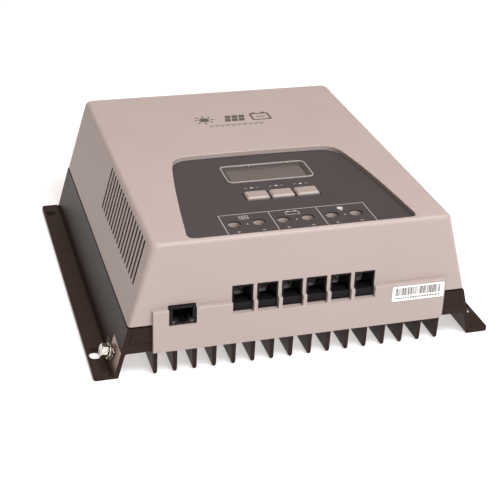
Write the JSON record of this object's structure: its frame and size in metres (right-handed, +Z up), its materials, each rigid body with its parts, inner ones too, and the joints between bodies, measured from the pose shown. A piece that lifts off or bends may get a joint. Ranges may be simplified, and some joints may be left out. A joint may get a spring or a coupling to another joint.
{
  "type": "solar charge controller",
  "caption": "Finned aluminium extrusion with two mounting flanges under a sloping plastic hood with a display, push keys, clamp terminals and a network socket.",
  "frame": {"origin": "on the floor, in the middle of the footprint", "axes": "+X to the right seen from the terminal side, +Y to the back, +Z up out of the flanges"},
  "size_m": [0.2536, 0.2342, 0.0857],
  "materials": {
    "black_anodised": "satin black anodised extrusion, bare where it is milled",
    "hood_plastic": "fine spark-eroded texture, warm light grey",
    "key_plastic": "smooth light grey",
    "overlay": "fine-textured dark grey film with light printed lines",
    "display_glass": "clear pane with a dark printed border",
    "lcd_face": "grey-green reflective display",
    "circuit_board": "green solder mask",
    "ribbon": "grey ribbon cable",
    "black_plastic": "glass-filled black moulding",
    "ferrite": "lacquered ring core",
    "fuse_plastic": "translucent orange body",
    "plated_steel": "bright zinc plate",
    "tinned_copper": "dull tin plate",
    "capacitor_sleeve": "dark blue shrink sleeve",
    "label_paper": null
  },
  "bodies": {
    "case": {"heatsink": "black_anodised", "front_end_plate": "black_anodised", "rear_end_plate": "black_anodised", "top_cover": "hood_plastic", "faceplate": "overlay", "display_frame": "key_plastic", "display_window": "display_glass", "lcd_module": "lcd_face", "display_board": "circuit_board", "cover_screw_1": "plated_steel", "cover_screw_2": "plated_steel", "cover_screw_3": "plated_steel", "cover_screw_4": "plated_steel", "button_switch_left": "black_plastic", "button_switch_middle": "black_plastic", "button_switch_right": "black_plastic", "main_board": "circuit_board", "board_pillar_1": "plated_steel", "board_pillar_2": "plated_steel", "board_pillar_3": "plated_steel", "board_pillar_4": "plated_steel", "ribbon_cable": "ribbon", "terminal_block": "black_plastic", "terminal_contact_1": "tinned_copper", "terminal_contact_2": "tinned_copper", "terminal_contact_3": "tinned_copper", "terminal_contact_4": "tinned_copper", "terminal_contact_5": "tinned_copper", "terminal_contact_6": "tinned_copper", "network_socket": "black_plastic", "choke_left": "ferrite", "choke_right": "ferrite", "capacitor_1": "capacitor_sleeve", "capacitor_2": "capacitor_sleeve", "capacitor_3": "capacitor_sleeve", "fuse": "fuse_plastic", "power_transistor_1": "black_plastic", "power_transistor_2": "black_plastic", "power_transistor_3": "black_plastic", "power_transistor_4": "black_plastic", "clamp_bar": "plated_steel", "earth_bolt": "plated_steel", "earth_lock_washer": "plated_steel", "earth_flat_washer": "plated_steel", "barcode_label": "label_paper"},
    "left_button": {"button_left": "key_plastic"},
    "middle_button": {"button_middle": "key_plastic"},
    "right_button": {"button_right": "key_plastic"},
    "clamp_screw_1": {"terminal_screw_1": "plated_steel"},
    "clamp_cage_1": {"terminal_cage_1": "plated_steel"},
    "clamp_screw_2": {"terminal_screw_2": "plated_steel"},
    "clamp_cage_2": {"terminal_cage_2": "plated_steel"},
    "clamp_screw_3": {"terminal_screw_3": "plated_steel"},
    "clamp_cage_3": {"terminal_cage_3": "plated_steel"},
    "clamp_screw_4": {"terminal_screw_4": "plated_steel"},
    "clamp_cage_4": {"terminal_cage_4": "plated_steel"},
    "clamp_screw_5": {"terminal_screw_5": "plated_steel"},
    "clamp_cage_5": {"terminal_cage_5": "plated_steel"},
    "clamp_screw_6": {"terminal_screw_6": "plated_steel"},
    "clamp_cage_6": {"terminal_cage_6": "plated_steel"}
  },
  "joints": [
    {"name": "left_button_press", "type": "slide", "parent": "case", "child": "left_button", "axis": [0, 0, -1], "range_m": [0, 0.001], "stiffness_N_per_m": 800},
    {"name": "middle_button_press", "type": "slide", "parent": "case", "child": "middle_button", "axis": [0, 0, -1], "range_m": [0, 0.001], "stiffness_N_per_m": 800},
    {"name": "right_button_press", "type": "slide", "parent": "case", "child": "right_button", "axis": [0, 0, -1], "range_m": [0, 0.001], "stiffness_N_per_m": 800},
    {"name": "clamp_screw_1_turn", "type": "hinge", "parent": "case", "child": "clamp_screw_1", "pos_m": [-0.0376, -0.09215, 0.06], "axis": [0, 0, -1], "range_deg": [0, 2160]},
    {"name": "clamp_cage_1_rise", "type": "slide", "parent": "case", "child": "clamp_cage_1", "axis": [0, 0, 1], "range_m": [0, 0.006]},
    {"name": "clamp_screw_2_turn", "type": "hinge", "parent": "case", "child": "clamp_screw_2", "pos_m": [-0.02236, -0.09215, 0.06], "axis": [0, 0, -1], "range_deg": [0, 2160]},
    {"name": "clamp_cage_2_rise", "type": "slide", "parent": "case", "child": "clamp_cage_2", "axis": [0, 0, 1], "range_m": [0, 0.006]},
    {"name": "clamp_screw_3_turn", "type": "hinge", "parent": "case", "child": "clamp_screw_3", "pos_m": [-0.00712, -0.09215, 0.06], "axis": [0, 0, -1], "range_deg": [0, 2160]},
    {"name": "clamp_cage_3_rise", "type": "slide", "parent": "case", "child": "clamp_cage_3", "axis": [0, 0, 1], "range_m": [0, 0.006]},
    {"name": "clamp_screw_4_turn", "type": "hinge", "parent": "case", "child": "clamp_screw_4", "pos_m": [0.00812, -0.09215, 0.06], "axis": [0, 0, -1], "range_deg": [0, 2160]},
    {"name": "clamp_cage_4_rise", "type": "slide", "parent": "case", "child": "clamp_cage_4", "axis": [0, 0, 1], "range_m": [0, 0.006]},
    {"name": "clamp_screw_5_turn", "type": "hinge", "parent": "case", "child": "clamp_screw_5", "pos_m": [0.02336, -0.09215, 0.06], "axis": [0, 0, -1], "range_deg": [0, 2160]},
    {"name": "clamp_cage_5_rise", "type": "slide", "parent": "case", "child": "clamp_cage_5", "axis": [0, 0, 1], "range_m": [0, 0.006]},
    {"name": "clamp_screw_6_turn", "type": "hinge", "parent": "case", "child": "clamp_screw_6", "pos_m": [0.0386, -0.09215, 0.06], "axis": [0, 0, -1], "range_deg": [0, 2160]},
    {"name": "clamp_cage_6_rise", "type": "slide", "parent": "case", "child": "clamp_cage_6", "axis": [0, 0, 1], "range_m": [0, 0.006]}
  ],
  "couplings": [
    {"joint": "clamp_screw_1_turn", "follows": "clamp_cage_1_rise", "rad_per_m": 6283.2},
    {"joint": "clamp_screw_2_turn", "follows": "clamp_cage_2_rise", "rad_per_m": 6283.2},
    {"joint": "clamp_screw_3_turn", "follows": "clamp_cage_3_rise", "rad_per_m": 6283.2},
    {"joint": "clamp_screw_4_turn", "follows": "clamp_cage_4_rise", "rad_per_m": 6283.2},
    {"joint": "clamp_screw_5_turn", "follows": "clamp_cage_5_rise", "rad_per_m": 6283.2},
    {"joint": "clamp_screw_6_turn", "follows": "clamp_cage_6_rise", "rad_per_m": 6283.2}
  ]
}
